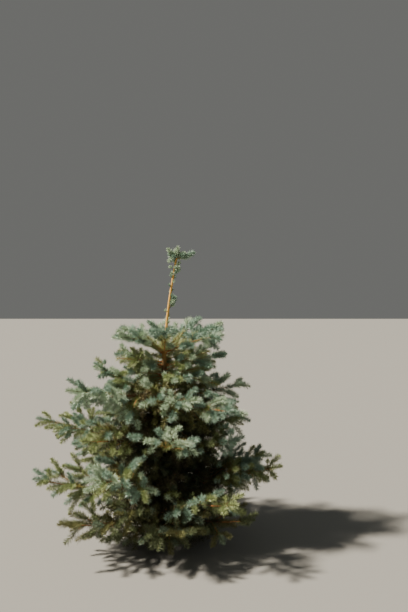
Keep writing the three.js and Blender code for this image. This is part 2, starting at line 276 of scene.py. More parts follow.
# What the finer growth adds: lengths in millimetres, angles in degrees
finerPlan = {
    "seed": 100,
    "yearGrowth": 128, "yearRange": (0.9, 1.2),  # this year's growth, at the end of every shoot
    "vigourRange": (0.9, 1.08), "shortVigour": 0.74, "vigourLength": 260,  # less on short shoots
    "firstJoint": (0.8, 1.0), "nextJoint": (0.8, 1.1), "lastJoint": 12,
    "childLength": (66, 0.5),  # a finer shoot, and what each millimetre of its parent beyond it adds
    "childRange": (0.7, 1.0), "childAngle": (29, 17), "shortest": 66, "longest": 260,
    "tries": 4, "retryTurn": (-16, 16), "retryLength": 0.86,  # without room it turns and gets shorter
    "deepest": 3,  # orders of branching from the stem
    "thirds": 0.55,  # share of joints that carry a third shoot
    "room": 37,  # least space between a new shoot and its neighbours
    "limbRoom": 3, "rootShare": 0.35,  # and, beyond this share of it, between it and limbs or trunk
    "lowest": 30,  # nothing finer grows nearer the ground
    "bareRoot": 34,  # a stem has no needles this near the trunk's axis
    "limbRoot": 0.1,  # the share of a bare limb at its foot that has no twigs
    "pastLimb": 12, "stemOverlap": 0.01,  # needles begin past its end, the thin stem before it
    "shade": 0.52,  # inside this share of the crown's reach all needles are dark, a painted shade
    "innerRoom": 20,  # shoots may be this near each other
    "innerStep": 0.6,  # and joints are this share of a year's growth apart
    "fullLight": 0.84, "leastLight": 0.2,  # from the first share on a shoot has its whole growth
    "pathStep": 25, "stemStep": 20, "wobble": 0.012, "leastStretch": 4, "sight": 8,
    "tipGirth": 1.1, "oldTipGirth": 2,  # radii, and what each millimetre from the tip adds
    "girthGrowth": 0.0085, "stemGrowth": 0.012,
}
cellSize = 26  # taken has the points of all shoots by cell, and only near cells are searched
taken = {}


def cellOf(point):
    return int(point.x // cellSize), int(point.y // cellSize), int(point.z // cellSize)


def cellsNear(point):
    x, y, z = cellOf(point)
    return [(i, j, k) for i in (x - 1, x, x + 1) for j in (y - 1, y, y + 1) for k in (z - 1, z, z + 1)]


def take(path, name):
    for point in path:
        taken.setdefault(cellOf(point), []).append((point, name))


def isCrowded(start, end, names, room):
    for i in range(3, 7):  # only the outer half has to keep its distance
        point = start.lerp(end, i / 6)
        for cell in cellsNear(point):
            for other, name in taken.get(cell, ()):
                if name not in names and (other - point).length < room:
                    return True
    return False


# A shoot's path from root to tip: its middle sags or rises, and it wanders a little.
def shootPath(start, end, draw, arch):
    length = (end - start).length
    steps = max(2, round(length / finerPlan["pathStep"]))
    side, top = squareTo((end - start).normalized())
    sway = side * draw.uniform(-1, 1) + top * draw.uniform(-1, 1)
    path = []
    for i in range(steps + 1):
        t = i / steps
        offset = sway * finerPlan["wobble"] * length * sin(2 * pi * t)
        path.append(start.lerp(end, t) - up * arch * length * sin(pi * t) + offset)
    return path


def lengthOf(path):
    return sum((b - a).length for a, b in zip(path, path[1:]))


# The stretch of a path between two distances from its tip, root end first.
def stretchOf(path, near, far):
    walked, previous = 0, path[-1]
    kept = [previous] if near <= 0 else []
    for point in reversed(path[:-1]):
        step = (point - previous).length
        for edge in (near, far):
            if walked < edge < walked + step:
                kept.append(previous.lerp(point, (edge - walked) / step))
        walked += step
        if near < walked < far:
            kept.append(point)
        previous = point
    return kept[::-1]


boughs = makeBoughs()

# Everything that has grown, by part of the crown: wood as (path, radii), and needles as (path, tint,
# vigour) for this year's growth, the last few years' and the oldest or innermost, dark with age and painted
# shade.
partNames = [whorl["part"] for whorl in whorls] + [bough["part"] for bough in boughs] + ["leader"]
partNames = list(dict.fromkeys(partNames))
needleAges = ("new", "old", "shaded")
stems = {part: [] for part in partNames}
wood = {part: [] for part in partNames}
foliage = {(part, age): [] for part in partNames for age in needleAges}
growing = []  # shoots that may still branch, the coarsest first
crownReach = [(0, 560), (450, 680), (700, 610), (900, 470), (1000, 240), (1020, 40)]  # by height


def reachShare(point):  # 0 on the trunk's axis, 1 at the crown's edge
    for (low, first), (high, last) in zip(crownReach, crownReach[1:]):
        if low <= point.z < high:
            return (point - axisAt(point.z)).length / mix(first, last, (point.z - low) / (high - low))
    return 1


def isShaded(point):
    return reachShare(point) < finerPlan["shade"]


# habit is the bough or other plan that says how a shoot and everything on it grows. bareRoot is the
# length at its root that has no needles, and barrenRoot the length that has no finer shoots.
def addShoot(path, habit, order, draw, bareRoot=0, barrenRoot=0, isOld=False):
    plan, part, total = finerPlan, habit["part"], lengthOf(path)
    if order:
        fromTip = [lengthOf(path[i:]) for i in range(len(path))]
        girth = plan["oldTipGirth" if isOld else "tipGirth"]
        wood[part].append((path, [girth + plan["girthGrowth"] * far for far in fromTip]))
    light = (reachShare(path[-1]) - plan["shade"]) / (plan["fullLight"] - plan["shade"])
    year = plan["yearGrowth"] * habit.get("freshness", 1) * draw.uniform(*plan["yearRange"])
    year *= max(plan["leastLight"], min(1, light))
    fresh = habit["vigour"] * draw.uniform(*plan["vigourRange"])
    fresh *= min(1, plan["shortVigour"] + total / plan["vigourLength"])
    ages = [("new", 0, year), ("old", year, 3 * year), ("shaded", 3 * year, total)]
    if isOld:
        ages = [("old", 0, total)]
    elif isShaded(path[-1]):
        # a shoot inside the crown has only dark needles, their tint a painted shade
        ages = [("shaded", 0, total)]
    for age, near, far in ages:
        tint = within(habit["new" if age == "new" else "old"], draw.random())
        far = min(far, total - bareRoot)
        if far - near > plan["leastStretch"]:
            foliage[part, age].append((stretchOf(path, near, far), tint, fresh))
    name = len(growing)
    take(path, name)
    growing.append({
        "name": name, "habit": habit, "path": path, "length": total - barrenRoot, "order": order,
        "draw": draw})


def pointFromTip(path, far):  # and the way on from there to the tip
    point = stretchOf(path, 0, far)[0]
    beyond = stretchOf(path, 0, max(finerPlan["leastStretch"], far - finerPlan["sight"]))[0]
    return point, (beyond - point).normalized()


# Finer shoots on a shoot, at its yearly joints, where there is room for them.
def branch(shoot):
    plan, draw, habit = finerPlan, shoot["draw"], shoot["habit"]
    limb = habit["owner"] + "_limb"
    fromTip = plan["yearGrowth"] * draw.uniform(*plan["firstJoint"])
    while fromTip < shoot["length"] - plan["lastJoint"]:
        root, along = pointFromTip(shoot["path"], fromTip)
        side, top = squareTo(along)
        across = turned(side, top, draw.uniform(-habit["tilt"], habit["tilt"]))
        squares = [(across, -1), (across, 1)]
        if draw.random() < plan["thirds"]:
            squares.append((top, draw.choice(habit["thirds"])))
        for square, hand in squares:
            length = min(within(plan["childLength"], fromTip), plan["longest"])
            length *= draw.uniform(*plan["childRange"])
            for attempt in range(plan["tries"]):
                out = turned(along, square, hand * within(plan["childAngle"], draw.random()))
                out = (out + up * within(habit["lift"], draw.random())).normalized()
                astray = draw.uniform(*plan["retryTurn"]) * attempt
                out = turned(out, squareTo(out)[1], astray).normalized()
                tip = root + out * length
                isLong = length > plan["shortest"] and min(root.z, tip.z) > plan["lowest"]
                clearFrom = root.lerp(tip, plan["rootShare"])
                room = plan["innerRoom"] if isShaded(tip) else plan["room"] * habit["closeness"]
                if (isLong and isClear(limb, clearFrom, tip, plan["limbRoom"], ("trunk", "_limb"))
                        and not isCrowded(root, tip, (shoot["name"],), room)):
                    addShoot(shootPath(root, tip, draw, habit["arch"]), habit, shoot["order"] + 1, draw)
                    break
                length *= plan["retryLength"]
        years = draw.uniform(*plan["nextJoint"])
        fromTip += plan["yearGrowth"] * years * (plan["innerStep"] if isShaded(root) else 1)


def growBough(bough):
    plan, draw = finerPlan, random.Random(finerPlan["seed"] + bough["number"])
    start, reach = bough["start"], bough["reach"]
    foot = plan["limbRoot"] if bough["limb"] else 0
    steps = round(reach * (1 - foot) / plan["stemStep"])
    shares = [mix(foot, 1, i / steps) for i in range(steps + 1)]
    path = [boughPoint(bough, t) for t in shares]
    slim = [plan["tipGirth"] + plan["stemGrowth"] * reach * (1 - t) for t in shares]
    radii = [min(boughRadius(bough, t), most) for t, most in zip(shares, slim)]
    beyond = [i for i, t in enumerate(shares) if t >= start - plan["stemOverlap"]]
    stems[bough["part"]].append(([path[i] for i in beyond], [radii[i] for i in beyond]))
    bareRoot = (start - foot) * reach + plan["pastLimb"] if bough["limb"] else plan["bareRoot"]
    addShoot(path, bough, 0, draw, bareRoot, 0 if bough["limb"] else plan["bareRoot"])
    for root, tip in sideShoots(bough):
        if isClear(bough["owner"], root, tip, shootPlan["room"]):
            fill(bough["owner"], root, tip, shootPlan["room"])
            addShoot(shootPath(root, tip, draw, bough["arch"]), bough, 1, draw)


# Short twigs on the trunk itself, between the whorls
trunkTwigs = {
    "seed": 77, "count": 420, "lowest": 100, "highest": 1090, "scatter": 0.8, "aside": (-20, 20),
    "length": (120, 260), "rise": (-20, 46), "room": 17, "limbRoom": 6, "rootShare": 0.5, "bareRoot": 20,
    "bareFrom": 890, "bareSide": (215, 322),  # above this height the trunk shows on this side
    "sunlitFrom": 900,  # and its twigs carry old needles with the crown's tints, painted lighter as if sunlit
}


def growTrunkTwigs():
    plan, draw = trunkTwigs, random.Random(trunkTwigs["seed"])
    low, high = plan["bareSide"]
    for i in range(plan["count"]):
        height = mix(plan["lowest"], plan["highest"], (i + draw.random() * plan["scatter"]) / plan["count"])
        bearing = goldenAngle * i + draw.uniform(*plan["aside"])
        if height > plan["bareFrom"] and low < bearing % 360 < high:
            continue
        out = towards(bearing, within(plan["rise"], draw.random()))
        start = axisAt(height) + towards(bearing, 0) * trunkRadius(height) * plan["rootShare"]
        tip = start + out * within(plan["length"], draw.random())
        if (isClear(None, start, tip, plan["limbRoom"], "_limb")
                and not isCrowded(start, tip, (), plan["room"])):
            nearest = min(whorls, key=lambda whorl: abs(whorl["foot"] - height))
            addShoot(shootPath(start, tip, draw, 0), {**nearest, "owner": "trunk"}, 1, draw,
                     plan["bareRoot"], plan["bareRoot"], isOld=height > plan["sunlitFrom"])


# The leader has small sprays, as (height, bearing, length), with a fork each, and tufts, as (height,
# bearing, length, rise). A cluster ends it, of shoots and tufts as (bearing, length, rise), and older
# shoots stand close round its foot, as (bearing, rise, length).
leaderPlan = {
    "seed": 88, "vigour": 1.1, "arch": 0.03, "new": (0, 0.7),
    "sprays": [(1355, 350, 85), (1545, 340, 72)], "sprayRise": 58, "sprayFork": (62, 40),
    "forkPlace": 0.4, "forkLength": 0.5,
    "tufts": [(1352, 20, 52, 50), (1372, 325, 50, 44), (1392, 5, 48, 54), (1405, 340, 40, 40),
              (1552, 15, 50, 50), (1572, 325, 50, 40), (1596, 350, 48, 50), (1586, 190, 34, 40),
              (1618, 120, 38, 56), (1480, 200, 26, 60), (1440, 90, 26, 60), (1636, 250, 40, 60),
              (1644, 70, 40, 62), (1650, 325, 46, 56), (1652, 170, 42, 58), (1300, 40, 26, 60),
              (1330, 180, 24, 62), (1420, 340, 28, 56), (1450, 30, 26, 58), (1500, 330, 28, 58),
              (1525, 10, 30, 56), (1535, 215, 26, 58), (1260, 330, 28, 58), (1548, 265, 42, 30),
              (1580, 290, 44, 34)],
    "tipFoot": -6, "hubTop": 22,  # where tip shoots begin and spread, from the trunk's top
    "tipShoots": [(352, 100, 4), (205, 66, 24), (100, 60, 30), (280, 44, 55)],
    "tipTufts": [(20, 64, 22), (2, 84, 12), (250, 50, 14), (320, 60, 20), (160, 52, 34), (340, 62, 34),
                 (60, 50, 40), (190, 52, 32), (205, 50, 50), (130, 50, 44), (270, 50, 44)],
    "tipHanging": [(200, 50, -22)], "hangingArch": -0.35,
    "fanHeight": 1100, "fanScatter": (-10, 10), "fanBareRoot": 22,
    "fan": [(255, 62, 120), (214, 42, 170), (300, 64, 120), (325, 44, 150), (186, 26, 165),
            (350, 30, 135), (30, 38, 120), (75, 44, 120), (118, 40, 120), (155, 36, 120)],
}


def growLeader():
    plan, draw = leaderPlan, random.Random(leaderPlan["seed"])
    fanHabit = {**whorls[0], "owner": "trunk", "vigour": plan["vigour"]}
    habit = {**fanHabit, "part": "leader", "new": plan["new"]}

    def grow(start, bearing, rise, length, order, arch=plan["arch"]):
        tip = start + towards(bearing, rise) * length
        addShoot(shootPath(start, tip, draw, arch), habit, order, draw)
        return tip

    fork, forkRise = plan["sprayFork"]
    for height, bearing, length in plan["sprays"]:
        start = axisAt(height)
        tip = grow(start, bearing, plan["sprayRise"], length, 2)
        grow(start.lerp(tip, plan["forkPlace"]), bearing + fork, forkRise, length * plan["forkLength"], 2)
    for height, bearing, length, rise in plan["tufts"]:
        grow(axisAt(height), bearing, rise, length, 3)
    # the fan's old needles take the crown's tints, painted lighter as if sunlit
    for bearing, rise, length in plan["fan"]:
        start = axisAt(plan["fanHeight"] + draw.uniform(*plan["fanScatter"]))
        tip = start + towards(bearing, rise) * length
        addShoot(shootPath(start, tip, draw, plan["arch"]), fanHabit, 3, draw,
                 plan["fanBareRoot"], plan["fanBareRoot"], isOld=True)
    tipFoot, hubTop = axisAt(trunkPlan["top"] + plan["tipFoot"]), axisAt(trunkPlan["top"] + plan["hubTop"])
    for bearing, length, rise in plan["tipShoots"]:
        tip = hubTop + towards(bearing, rise) * length
        addShoot(shootPath(tipFoot, tip, draw, plan["arch"]), habit, 2, draw)
    for bearing, length, rise in plan["tipTufts"]:
        grow(tipFoot, bearing, rise, length, 3)
    for bearing, length, rise in plan["tipHanging"]:
        grow(tipFoot, bearing, rise, length, 3, plan["hangingArch"])


fillStems()
for bough in boughs:
    growBough(bough)
growLeader()
growTrunkTwigs()
for shoot in growing:  # the list grows as it is read, so coarse shoots branch first
    if shoot["order"] < finerPlan["deepest"]:
        branch(shoot)
for (part, age), rows in foliage.items():
    metres = round(sum(lengthOf(row[0]) for row in rows) * mm, 1)
    print("grown", part, age, len(rows), "stretches", metres, "m")


# Materials and node trees

def fromHex(hexText):
    levels = [int(hexText[i:i + 2], 16) / 255 for i in (1, 3, 5)]
    return (*[v / 12.92 if v <= 0.04045 else ((v + 0.055) / 1.055) ** 2.4 for v in levels], 1)


def socketOf(sockets, name):
    if isinstance(name, int):
        return sockets[name]
    return next(socket for socket in sockets if socket.enabled and socket.name == name)


def addNode(tree, kind, values=None, **settings):  # gives back the node's outputs
    node = tree.nodes.new(kind)
    for name, value in settings.items():
        setattr(node, name, value)
    for name, value in (values or {}).items():
        if isinstance(value, bpy.types.NodeSocket):
            tree.links.new(value, socketOf(node.inputs, name))
        else:
            socketOf(node.inputs, name).default_value = value
    return node.outputs


def carried(tree, name):  # the number of that name that each point carries
    return addNode(tree, "GeometryNodeInputNamedAttribute", {"Name": name}, data_type="FLOAT")["Attribute"]


def paint(tree, shape, material, chosen=True):
    return addNode(tree, "GeometryNodeSetMaterial", {
        "Geometry": shape, "Selection": chosen, "Material": material})["Geometry"]


def addTexture(tree, kind, size, values=None, **settings):  # a pattern of that size in millimetres
    place = addNode(tree, "ShaderNodeTexCoord")["Object"]
    values = {"Vector": place, "Scale": 1 / (size * mm), **(values or {})}
    return addNode(tree, "ShaderNodeTex" + kind, values, **settings)


def makeMaterial(name, roughness, specular=0.5):
    material = bpy.data.materials.new(name)
    material.use_nodes = True
    shader = material.node_tree.nodes["Principled BSDF"].inputs
    shader["Roughness"].default_value = roughness
    shader["Specular IOR Level"].default_value = specular
    return material, material.node_tree, shader


def mixColours(tree, factor, *colours):
    first, second = [fromHex(colour) if isinstance(colour, str) else colour for colour in colours]
    values = {"Factor": factor, "A": first, "B": second}
    return socketOf(addNode(tree, "ShaderNodeMix", values, data_type="RGBA"), "Result")


# Needle wax: a thin pale bloom over green, which scatters softly and hides most of the gloss. Each
# tint is one plain colour, dealt out by spray, with a faint mottle in its gloss alone.
waxPlan = {"mottle": 9, "glossRange": 0.1}


def makeNeedleMaterial(name, colour, roughness):
    material, tree, shader = makeMaterial(name, roughness)
    shader["Base Color"].default_value = fromHex(colour)
    bloom = addTexture(tree, "Noise", waxPlan["mottle"])
    gloss = addNode(tree, "ShaderNodeMapRange", {
        "Value": bloom["Fac"], "To Min": roughness - waxPlan["glossRange"],
        "To Max": roughness + waxPlan["glossRange"]})
    tree.links.new(gloss["Result"], shader["Roughness"])
    return material


# Tints by age, and by part of the crown where its light differs, as (name, base colour, roughness).
# The dark tints of the shaded age are painted shade over the duller green of old needles; the crown's
# lighter inner and old tints are painted light, and the hem's darker tints are painted shade.
needleTints = {
    "new": [("silverWax", "#A5B99F", 0.42), ("blueWax", "#819B8A", 0.42), ("greenWax", "#8A9766", 0.42)],
    "old": [("dullGreenNeedle", "#606D48", 0.5), ("greenNeedle", "#69723F", 0.5),
            ("oliveNeedle", "#76723B", 0.55)],
    # inner and oldest needles: painted shade over the duller green of old needles
    "shaded": [("paintedShadeNeedle", "#36412B", 0.55), ("paintedShadeOliveNeedle", "#474A29", 0.6),
               ("paintedShadeBrownNeedle", "#443F29", 0.65)],
    # lighter copies of the dark inner tints, painted light where the inside of the crown is lit
    "crown shaded": [("paintedLitInnerOliveNeedle", "#565E38", 0.55), ("paintedLitInnerYellowNeedle", "#666838", 0.6),
                     ("paintedLitInnerBrownNeedle", "#5E5434", 0.65)],
    # the crown's old needles, painted lighter as if sunlit
    "crown old": [("sunlitGreenNeedle", "#8FA277", 0.5), ("sunlitYellowNeedle", "#A8B180", 0.55),
                  ("sunlitOliveNeedle", "#9AA46E", 0.55)],
    # the hem's tints are darker, a painted shade
    "hem new": [("paintedShadeDullWax", "#5F705C", 0.55), ("paintedShadeMossWax", "#5C6745", 0.5), ("paintedShadeOliveWax", "#62643B", 0.5)],
    "hem old": [("dullShadeNeedle", "#4C5839", 0.55), ("greenShadeNeedle", "#535B33", 0.55),
                ("oliveShadeNeedle", "#5D5A30", 0.6)],
}
needleTints["shoulder shaded"] = needleTints["crown shaded"]
needleMaterials = {use: [makeNeedleMaterial(*row) for row in rows] for use, rows in needleTints.items()}

# Needles, as inputs of their tree: sizes in millimetres, spread from the shoot in degrees
needlePlan = {
    "new": {"Spacing": 0.68, "Length": 31, "Width": 3.2, "Spread": 58, "Tip Spread": 30,
            "Tip Taper": 15, "Tip Length": 0.5, "Upsweep": 0.24},
    "old": {"Spacing": 1.1, "Length": 30, "Width": 3.0, "Spread": 60, "Tip Spread": 28,
            "Tip Taper": 8, "Tip Length": 0.7, "Upsweep": 0.14},
    "shaded": {"Spacing": 2.3, "Length": 28, "Width": 5.4, "Spread": 62, "Tip Spread": 40,
               "Tip Taper": 6, "Tip Length": 0.8, "Upsweep": 0.08},
}
needlePlan["crown new"] = {**needlePlan["new"], "Spacing": 0.6}
needlePlan["crown old"] = {**needlePlan["old"], "Width": 2.8, "Spread": 50}
needlePlan["leader new"] = {**needlePlan["new"], "Spacing": 0.5, "Length": 25, "Width": 3.4}
needlePlan["hem new"] = {**needlePlan["new"], "Spacing": 0.84}
# What chance adds to a needle, and where on the scale of tints the second and third begin
needleChance = {
    "winding": (-0.5, 0.5), "lean": (-14.0, 14.0), "length": (0.74, 1.12), "tintFrom": (0.36, 0.72),
}
tintInputs = ("First Tint", "Second Tint", "Third Tint")


def makeMesh(name, points, edges, faces):
    mesh = bpy.data.meshes.new(name)
    mesh.from_pydata(points, edges, faces)
    return mesh


# One needle, one millimetre wide and long until it is scaled: a keeled spindle of four faces, widest
# in its lower half, so that a shoot is close round its stem and fine at its edge
def makeNeedle():
    points = [(0, 0.2, 0), (0, 0.2, 1), (0.5, -0.35, 0.34), (-0.5, -0.35, 0.34)]
    faces = [(0, 3, 2), (1, 2, 3), (0, 2, 1), (0, 1, 3)]
    mesh = makeMesh("needle", [Vector(p) * mm for p in points], [], faces)
    return bpy.data.objects.new("needle", mesh)


def addSockets(tree, inputs):  # the names of its inputs, by kind
    for kind, names in inputs.items():
        for name in names:
            tree.interface.new_socket(name, in_out="INPUT", socket_type="NodeSocket" + kind)
    tree.interface.new_socket("Geometry", in_out="OUTPUT", socket_type="NodeSocketGeometry")
    return addNode(tree, "NodeGroupInput")


# Needles along paths: each stands off its shoot at an angle, wound round it by the golden angle. They
# lean forward and are shorter at the shoot's tip, which makes its end round.
def makeNeedleTree():
    tree = bpy.data.node_groups.new("needlesAlongShoots", "GeometryNodeTree")
    plan = needleChance
    sizes = addSockets(tree, {
        "Geometry": ["Geometry"], "Float": list(needlePlan["new"]), "Int": ["Seed"],
        "Object": ["Needle"], "Material": tintInputs})

    def maths(operation, first, second=0.0):
        return addNode(tree, "ShaderNodeMath", {0: first, 1: second}, operation=operation)[0]

    def vectors(operation, first, second):
        slot = "Scale" if operation == "SCALE" else 1
        return addNode(tree, "ShaderNodeVectorMath", {0: first, slot: second}, operation=operation)[0]

    def swung(first, second, angle):  # from the first direction to the second
        return vectors("ADD", vectors("SCALE", first, maths("COSINE", angle)),
                       vectors("SCALE", second, maths("SINE", angle)))

    def scatter(low, high, offset):
        seed = maths("ADD", sizes["Seed"], float(offset))
        values = {"Min": low, "Max": high, "Seed": seed}
        return socketOf(addNode(tree, "FunctionNodeRandomValue", values), "Value")

    paths = addNode(tree, "GeometryNodeMeshToCurve", {"Mesh": sizes["Geometry"]})
    total = addNode(tree, "GeometryNodeSplineLength")["Length"]
    walked = addNode(tree, "GeometryNodeSplineParameter")["Length"]
    marked = addNode(tree, "GeometryNodeStoreNamedAttribute", {
        "Geometry": paths["Curve"], "Name": "fromTip", "Value": maths("SUBTRACT", total, walked)},
        data_type="FLOAT", domain="POINT")
    points = addNode(tree, "GeometryNodeCurveToPoints", {
        "Curve": marked["Geometry"], "Length": sizes["Spacing"]}, mode="LENGTH")
    along, normal = points["Tangent"], points["Normal"]

    index = addNode(tree, "GeometryNodeInputIndex")["Index"]
    turns = maths("MULTIPLY", index, radians(goldenAngle))
    winding = maths("ADD", turns, scatter(*plan["winding"], 0))

    def fromTipTo(atTip, beyond):
        return addNode(tree, "ShaderNodeMapRange", {
            "Value": carried(tree, "fromTip"), "From Min": 0.0, "From Max": sizes["Tip Taper"],
            "To Min": atTip, "To Max": beyond})["Result"]

    spread = fromTipTo(sizes["Tip Spread"], sizes["Spread"])
    lean = maths("RADIANS", maths("ADD", spread, scatter(*plan["lean"], 1)))
    outward = swung(normal, vectors("CROSS_PRODUCT", along, normal), winding)
    facing = swung(along, outward, lean)
    rise = addNode(tree, "ShaderNodeCombineXYZ", {"Z": sizes["Upsweep"]})["Vector"]
    roll = addNode(tree, "ShaderNodeCombineXYZ", {"Z": scatter(0.0, 2 * pi, 3)})["Vector"]
    rolled = addNode(tree, "FunctionNodeEulerToRotation", {"Euler": roll})["Rotation"]
    turn = addNode(tree, "FunctionNodeAlignRotationToVector", {
        "Rotation": rolled, "Vector": vectors("ADD", facing, rise)}, axis="Z")
    stretch = maths("MULTIPLY", carried(tree, "vigour"), scatter(*plan["length"], 2))
    long = maths("MULTIPLY", maths("MULTIPLY", stretch, fromTipTo(sizes["Tip Length"], 1.0)), sizes["Length"])
    scale = addNode(tree, "ShaderNodeCombineXYZ", {"X": sizes["Width"], "Y": sizes["Width"], "Z": long})

    needle = addNode(tree, "GeometryNodeObjectInfo", {"Object": sizes["Needle"]})
    placed = addNode(tree, "GeometryNodeInstanceOnPoints", {
        "Points": points["Points"], "Instance": needle["Geometry"],
        "Rotation": turn["Rotation"], "Scale": scale["Vector"]})
    shape = addNode(tree, "GeometryNodeRealizeInstances", {"Geometry": placed["Instances"]})
    painted = paint(tree, shape["Geometry"], sizes["First Tint"])
    for name, above in zip(tintInputs[1:], plan["tintFrom"]):
        painted = paint(tree, painted, sizes[name], maths("GREATER_THAN", carried(tree, "tint"), above))
    addNode(tree, "NodeGroupOutput", {"Geometry": painted})
    return tree


# Round wood along paths, its radius read from each point: grey bark where it is thick, green-brown
# on this year's growth.
def makeTwigTree():
    tree = bpy.data.node_groups.new("twigsAlongShoots", "GeometryNodeTree")
    given = addSockets(tree, {
        "Geometry": ["Geometry"], "Int": ["Sides"], "Float": ["Grey Above", "Green Below"],
        "Material": ["Young Bark", "Grey Bark", "Green Bark"]})
    girth = carried(tree, "girth")
    paths = addNode(tree, "GeometryNodeMeshToCurve", {"Mesh": given["Geometry"]})
    ring = addNode(tree, "GeometryNodeCurvePrimitiveCircle", {
        "Resolution": given["Sides"], "Radius": 1.0}, mode="RADIUS")
    tube = addNode(tree, "GeometryNodeCurveToMesh", {
        "Curve": paths["Curve"], "Profile Curve": ring["Curve"], "Scale": girth, "Fill Caps": True})
    shape = addNode(tree, "GeometryNodeRealizeInstances", {"Geometry": tube["Mesh"]})
    painted = paint(tree, shape["Geometry"], given["Young Bark"])
    for limit, test, bark in (
            ("Grey Above", "GREATER_THAN", "Grey Bark"), ("Green Below", "LESS_THAN", "Green Bark")):
        chosen = addNode(tree, "FunctionNodeCompare", {"A": girth, "B": given[limit]}, operation=test)
        painted = paint(tree, painted, given[bark], chosen["Result"])
    addNode(tree, "NodeGroupOutput", {"Geometry": painted})
    return tree


def addObject(name, data):
    piece = bpy.data.objects.new(name, data)
    scene.collection.objects.link(piece)
    return piece


# Paths as one mesh of edges, in metres, with the numbers that each point carries.
def pathObject(name, rows, numbers):
    points, edges, values = [], [], {key: [] for key in numbers}
    for row in rows:
        first = len(points)
        points.extend(p * mm for p in row[0])
        edges.extend((i, i + 1) for i in range(first, len(points) - 1))
        for key, read in numbers.items():
            values[key].extend(read(row, i) for i in range(len(row[0])))
    mesh = makeMesh(name, points, edges, [])
    for key, column in values.items():
        mesh.attributes.new(key, "FLOAT", "POINT").data.foreach_set("value", column)
    return addObject(name, mesh)


# Runs a tree on an object with its named inputs, and keeps the plain mesh that comes out.
def applyTree(piece, tree, inputs):
    modifier = piece.modifiers.new("growth", "NODES")
    modifier.node_group = tree
    for item in tree.interface.items_tree:
        if item.in_out == "INPUT" and item.name in inputs:
            modifier[item.identifier] = inputs[item.name]
    evaluated = piece.evaluated_get(bpy.context.evaluated_depsgraph_get())
    mesh = bpy.data.meshes.new_from_object(evaluated)
    piece.modifiers.remove(modifier)
    paths = piece.data
    piece.data = mesh
    bpy.data.meshes.remove(paths)
    for name in ("girth", "tint", "vigour", "fromTip"):
        if name in mesh.attributes:
            mesh.attributes.remove(mesh.attributes[name])


# Bark colours where the pattern is low and where it is high: orange-brown on young shoots, green-brown on
# this year's, and grey-brown scales with redder bark between on older wood
barkTones = {
    "young": ("#B98352", "#84502F"), "green": ("#7C7850", "#5C5738"), "grey": ("#75583F", "#4C382B"),
    "plate": ("#523E2F", "#7E634D"), "crack": "#3A2A20", "leader": ("#AE7F3A", "#E4B966"),
}
trunkBarkPlan = {
    "scale": 8, "fleck": 14, "crackWidth": 0.12, "grain": 2.2, "grainDepth": 0.6, "grainStrength": 0.35,
    "scalyTo": 1.0, "smoothFrom": 1.24,  # heights on the trunk, in metres
}


# Bark of twigs and limbs, with pegs that needles stand on or thin scales
def makeTwigBark(name, roughness, specular, size, tones):
    material, tree, shader = makeMaterial(name, roughness, specular)
    colour = mixColours(tree, addTexture(tree, "Voronoi", size)["Distance"], *tones)
    tree.links.new(colour, shader["Base Color"])
    return material


# The trunk's bark: scales over cracks at the foot, redder and smoother up to the top whorl, and the
# leader's orange-brown above it
def makeTrunkBark():
    plan, tones = trunkBarkPlan, barkTones
    material, tree, shader = makeMaterial("scalySpruceBark", 0.85, 0.25)
    place = addNode(tree, "ShaderNodeTexCoord")["Object"]
    height = addNode(tree, "ShaderNodeSeparateXYZ", {0: place})["Z"]
    scales = addTexture(tree, "Voronoi", plan["scale"], feature="DISTANCE_TO_EDGE")
    flecks = addTexture(tree, "Noise", plan["fleck"], {"Detail": 5.0})["Fac"]
    crack = addNode(tree, "ShaderNodeMapRange", {
        "Value": scales["Distance"], "From Max": plan["crackWidth"], "To Min": 1.0, "To Max": 0.0})
    plate = mixColours(tree, flecks, *tones["plate"])
    old = mixColours(tree, crack["Result"], plate, tones["crack"])
    young = mixColours(tree, flecks, *tones["leader"])
    climb = addNode(tree, "ShaderNodeMapRange", {
        "Value": height, "From Min": plan["scalyTo"], "From Max": plan["smoothFrom"]})
    shade = mixColours(tree, climb["Result"], old, young)
    tree.links.new(shade, shader["Base Color"])
    grain = addTexture(tree, "Noise", plan["grain"], {"Detail": 3.0})
    bump = addNode(tree, "ShaderNodeBump", {
        "Height": grain["Fac"], "Strength": plan["grainStrength"], "Distance": plan["grainDepth"] * mm})
    tree.links.new(bump["Normal"], shader["Normal"])
    return material


# Relief in millimetres. A middle is the level in it that keeps the solid's radius.
barkPlan = {
    "ringStep": 5, "trunkSides": 40, "limbSides": 14, "stemSides": 8, "twigSides": 3,
    "plateWidth": 9, "plateHeight": 15, "crackWidth": 0.35,
    "relief": 1.1, "upperRelief": 0.6, "middle": 0.7, "leaderRelief": 0.3, "leaderGrain": 4,
    "limbPlate": 6, "limbRelief": 0.45, "limbMiddle": 0.6,
    "collar": 0.55, "collarWidth": 1.7, "collarDrop": 0.3, "collarReach": 40,
    "limbDepth": 9, "limbOverlap": 0.012,  # how far limbs run into the trunk and into their masses
    "spread": 0.5, "spreadShare": 0.1,  # where they leave the trunk they are wider
    "grey": 3.4, "crownGrey": 6, "green": 1.9,  # radii above or below which twigs change colour
}


# How far bark plates stand out at a point, from 0 in a crack to 1.
def plateAt(point, width, height):
    spot = Vector((point.x / width, point.y / width, point.z / height))
    nearest, second = noise.voronoi(spot)[0][:2]
    return min(1, (second - nearest) / barkPlan["crackWidth"])


